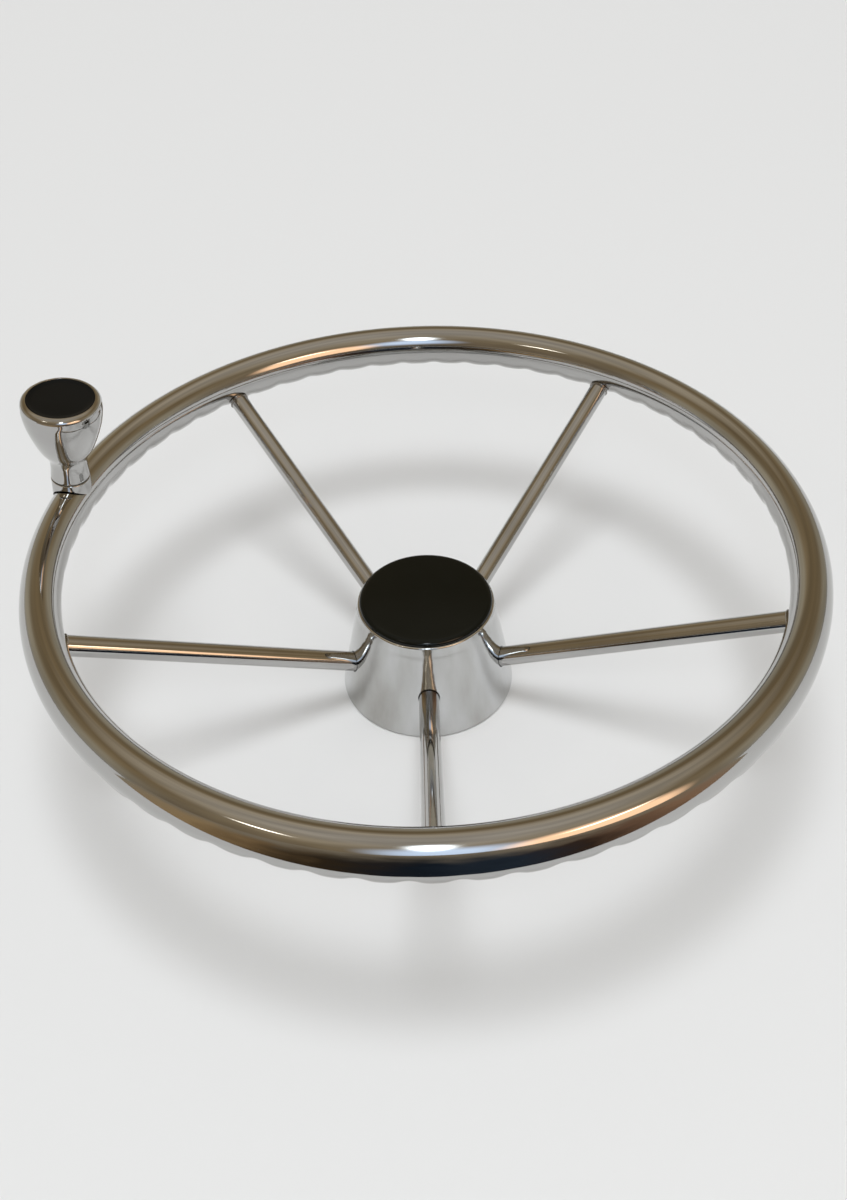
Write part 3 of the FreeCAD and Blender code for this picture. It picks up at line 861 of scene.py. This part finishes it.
def make_front_card():
    """A low dark card leaning away before the wheel, which glows and is seen only by the steel: a painted
    reflection that gives the polished rim a dark lower edge, amber on the left, navy in the middle, copper
    on the right, and pale along its top."""
    material = bpy.data.materials.new("painted_reflection_card")
    material.use_nodes = True
    tree = material.node_tree
    tree.nodes.clear()
    place = add(tree, "ShaderNodeTexCoord").outputs["Object"]
    apart = add(tree, "ShaderNodeSeparateXYZ", [(0, place)])
    cloud = add(tree, "ShaderNodeTexNoise", [("Vector", place), ("Scale", 16.0), ("Detail", 3.0)])
    uneven = maths(tree, "MULTIPLY", maths(tree, "SUBTRACT", cloud.outputs[0], 0.5), 0.12)
    rise = add(tree, "ShaderNodeMapRange",
               [("Value", maths(tree, "ADD", apart.outputs["Z"], uneven)), ("From Min", 0.08),
                ("From Max", CARD_TOP)], interpolation_type="SMOOTHSTEP").outputs[0]
    along = add(tree, "ShaderNodeMapRange",
                [("Value", maths(tree, "ADD", apart.outputs["X"], uneven)),
                 ("From Min", -CARD_HALF_WIDTH), ("From Max", CARD_HALF_WIDTH)]).outputs[0]
    low_tone = colour_steps(tree, along, [
        (0.0, (0.36, 0.31, 0.23)), (0.30, (0.42, 0.29, 0.15)), (0.37, (0.24, 0.155, 0.075)),
        (0.43, (0.045, 0.03, 0.016)), (0.49, (0.012, 0.018, 0.027)), (0.54, (0.025, 0.036, 0.052)),
        (0.59, (0.05, 0.03, 0.02)), (0.64, (0.20, 0.115, 0.07)), (0.72, (0.34, 0.20, 0.12)),
        (1.0, (0.36, 0.31, 0.23))])
    tone = add(tree, "ShaderNodeMix", [(0, rise)], data_type="RGBA")
    tree.links.new(low_tone, tone.inputs[6])
    tone.inputs[7].default_value = (0.30, 0.25, 0.18, 1)
    # The card glows with these tones, a painted reflection that only the steel sees
    light = add(tree, "ShaderNodeEmission", [("Color", tone.outputs[2])])
    out = add(tree, "ShaderNodeOutputMaterial")
    tree.links.new(light.outputs[0], out.inputs["Surface"])
    wide = CARD_HALF_WIDTH
    stage_piece("front_card", [(-wide, CARD_FOOT, 0.0), (wide, CARD_FOOT, 0.0),
                               (wide, CARD_HEAD, CARD_TOP), (-wide, CARD_HEAD, CARD_TOP)],
                [(0, 1, 2, 3)], material, {"glossy"})


def make_world():
    """Warm grey studio walls, one tone beyond the wheel and one on the camera's side, as the camera
    and the steel see them, and even plain light for every other ray."""
    world = bpy.data.worlds.new("studio")
    world.use_nodes = True
    bpy.context.scene.world = world
    tree = world.node_tree
    place = add(tree, "ShaderNodeTexCoord").outputs["Generated"]
    apart = add(tree, "ShaderNodeSeparateXYZ", [(0, place)])
    height = add(tree, "ShaderNodeMapRange", [("Value", apart.outputs["Z"]), ("From Min", -1.0),
                                              ("From Max", 1.0)]).outputs[0]
    beyond = colour_steps(tree, height, [
        (0.0, (0.46, 0.48, 0.47)), (0.50, (0.40, 0.38, 0.33)), (0.57, (0.38, 0.335, 0.25)),
        (0.65, (0.38, 0.33, 0.24)), (0.74, (0.27, 0.205, 0.12)), (0.83, (0.235, 0.17, 0.09)),
        (0.92, (0.45, 0.38, 0.28)), (1.0, (0.52, 0.47, 0.40))])
    facing = colour_steps(tree, height, [
        (0.0, (0.20, 0.17, 0.13)), (0.50, (0.25, 0.21, 0.16)), (0.62, (0.25, 0.19, 0.12)),
        (0.80, (0.32, 0.25, 0.155)), (0.92, (0.44, 0.37, 0.27)), (1.0, (0.52, 0.47, 0.40))])
    share = add(tree, "ShaderNodeMapRange", [("Value", apart.outputs["Y"]), ("From Min", -0.55),
                                             ("From Max", -0.05)],
                interpolation_type="SMOOTHSTEP").outputs[0]
    walls = add(tree, "ShaderNodeMix", [(0, share)], data_type="RGBA")
    tree.links.new(facing, walls.inputs[6])
    tree.links.new(beyond, walls.inputs[7])
    stretch = add(tree, "ShaderNodeMapping", [("Vector", place), ("Scale", (1.0, 1.0, 0.4))])
    cloud = add(tree, "ShaderNodeTexNoise", [("Vector", stretch.outputs[0]), ("Scale", 3.1),
                                             ("Detail", 3.0)])
    strength = add(tree, "ShaderNodeMapRange", [("Value", cloud.outputs[0]), ("From Min", 0.3),
                                                ("From Max", 0.7), ("To Min", 0.80), ("To Max", 1.20)])
    clouded = add(tree, "ShaderNodeVectorMath", [(0, walls.outputs[2]), ("Scale", strength.outputs[0])],
                  operation="SCALE")
    seen = add(tree, "ShaderNodeMix", [(0, bare_ray_mask(tree))], data_type="RGBA")
    seen.inputs[6].default_value = (0.51, 0.495, 0.47, 1)
    tree.links.new(clouded.outputs[0], seen.inputs[7])
    tree.links.new(seen.outputs[2], tree.nodes["Background"].inputs["Color"])


def hang_lamp(lamp, place):
    """Hangs a lamp at a place and turns it to the wheel."""
    holder = bpy.data.objects.new(lamp.name, lamp)
    bpy.context.scene.collection.objects.link(holder)
    holder.location = place
    holder.rotation_euler = (WHEEL_MIDDLE - holder.location).to_track_quat("-Z", "Y").to_euler()
    holder.visible_camera = False
    return holder


def make_sun(name, place, angle, energy):
    """A soft sun, its angle in degrees, that lights the scene and isn't mirrored by the steel."""
    lamp = bpy.data.lights.new(name, "SUN")
    lamp.angle = math.radians(angle)
    lamp.energy = energy
    lamp.color = (0.97, 1.0, 1.03)
    hang_lamp(lamp, place).visible_glossy = False


def make_softbox(name, place, width, height, brightness, tint, even=0.10, falloff=1.0):
    """A lamp that the steel mirrors, given by its brightness, even over its middle and fading
    softly towards its edges, faster with a higher falloff."""
    lamp = bpy.data.lights.new(name, "AREA")
    lamp.shape = "RECTANGLE"
    lamp.size, lamp.size_y = width, height
    lamp.energy = brightness * math.pi * width * height
    lamp.color = tint
    lamp.use_nodes = True
    tree = lamp.node_tree
    across = add(tree, "ShaderNodeNewGeometry").outputs["Parametric"]
    middle = add(tree, "ShaderNodeVectorMath", [(0, across), (1, (0.5, 0.5, 0.0))], operation="DISTANCE")
    fade = add(tree, "ShaderNodeMapRange", [("Value", middle.outputs["Value"]), ("From Min", 0.5),
                                            ("From Max", even)], interpolation_type="SMOOTHSTEP")
    tree.links.new(maths(tree, "POWER", fade.outputs[0], falloff),
                   tree.nodes["Emission"].inputs["Strength"])
    return hang_lamp(lamp, place)


def make_lights():
    """Two soft suns overhead, and softboxes round the front; the two low ones are only mirrored,
    as they would burn a bright patch into the floor."""
    make_sun("key_light", (0.0, 0.06, 0.95), angle=24, energy=0.85)
    make_sun("overhead_light", (-0.02, 0.0, 0.90), angle=34, energy=0.80)
    make_softbox("front_softbox", (-0.01, -0.69, 0.88), width=0.30, height=0.80, brightness=14.0,
                 tint=(0.84, 0.93, 1.0), even=0.0, falloff=3.0)
    cool = make_softbox("front_low_softbox", (0.03, -0.72, 0.48), width=0.60, height=0.60,
                        brightness=1.6, tint=(0.50, 0.70, 1.0))
    make_softbox("left_strip_softbox", (-0.83, -0.80, 1.20), width=0.46, height=0.09, brightness=8.0,
                 tint=(1.0, 0.94, 0.82))
    warm = make_softbox("right_warm_softbox", (0.50, -0.70, 0.40), width=0.80, height=0.80,
                        brightness=1.9, tint=(1.0, 0.62, 0.38), even=0.28)
    cool.visible_diffuse = False
    warm.visible_diffuse = False
    make_softbox("right_strip_softbox", (0.56, -0.64, 0.64), width=0.46, height=0.07, brightness=6.0,
                 tint=(1.0, 0.86, 0.68))


def make_camera():
    """Camera solved on the rim, the spokes and the hub. Its distance from the rim's middle is in
    rim radii, its angles are in radians, and its focal length is in pixels of the photograph."""
    distance, elevation, pan, tilt, roll, focal = 3.3663, 0.7005, 0.0018, -0.0441, 0.0335, 1266.29
    photo_height = 1200.0
    sensor_height = 36.0
    place = Vector((0, -distance * math.cos(elevation), distance * math.sin(elevation)))
    ahead = -place.normalized()
    right = Vector((1, 0, 0))
    up = right.cross(ahead)
    turn = Matrix.Rotation(pan, 3, up)
    ahead, right = turn @ ahead, turn @ right
    turn = Matrix.Rotation(tilt, 3, right)
    ahead, up = turn @ ahead, turn @ up
    turn = Matrix.Rotation(roll, 3, ahead)
    right, up = turn @ right, turn @ up
    lens = bpy.data.cameras.new("photo_camera")
    lens.sensor_fit = "VERTICAL"
    lens.sensor_height = sensor_height
    lens.lens = focal * sensor_height / photo_height
    lens.clip_start = 0.01
    camera = bpy.data.objects.new("photo_camera", lens)
    bpy.context.scene.collection.objects.link(camera)
    turned_to = Matrix((right, up, -ahead)).transposed().to_4x4()
    camera.matrix_world = Matrix.Translation(place * RIM_RADIUS + UP * RIM_HEIGHT) @ turned_to
    bpy.context.scene.camera = camera


make_rim()
for number in range(SPOKE_COUNT):
    make_spoke(number)
make_hub_shell()
make_cap_crown()
make_cap_fingers()
make_hub_welds()
make_knob_body()
make_knob_insert()
make_knob_saddle()
finish_solids()
make_floor()
make_front_card()
make_world()
make_lights()
make_camera()
bpy.context.scene.view_settings.view_transform = "Standard"
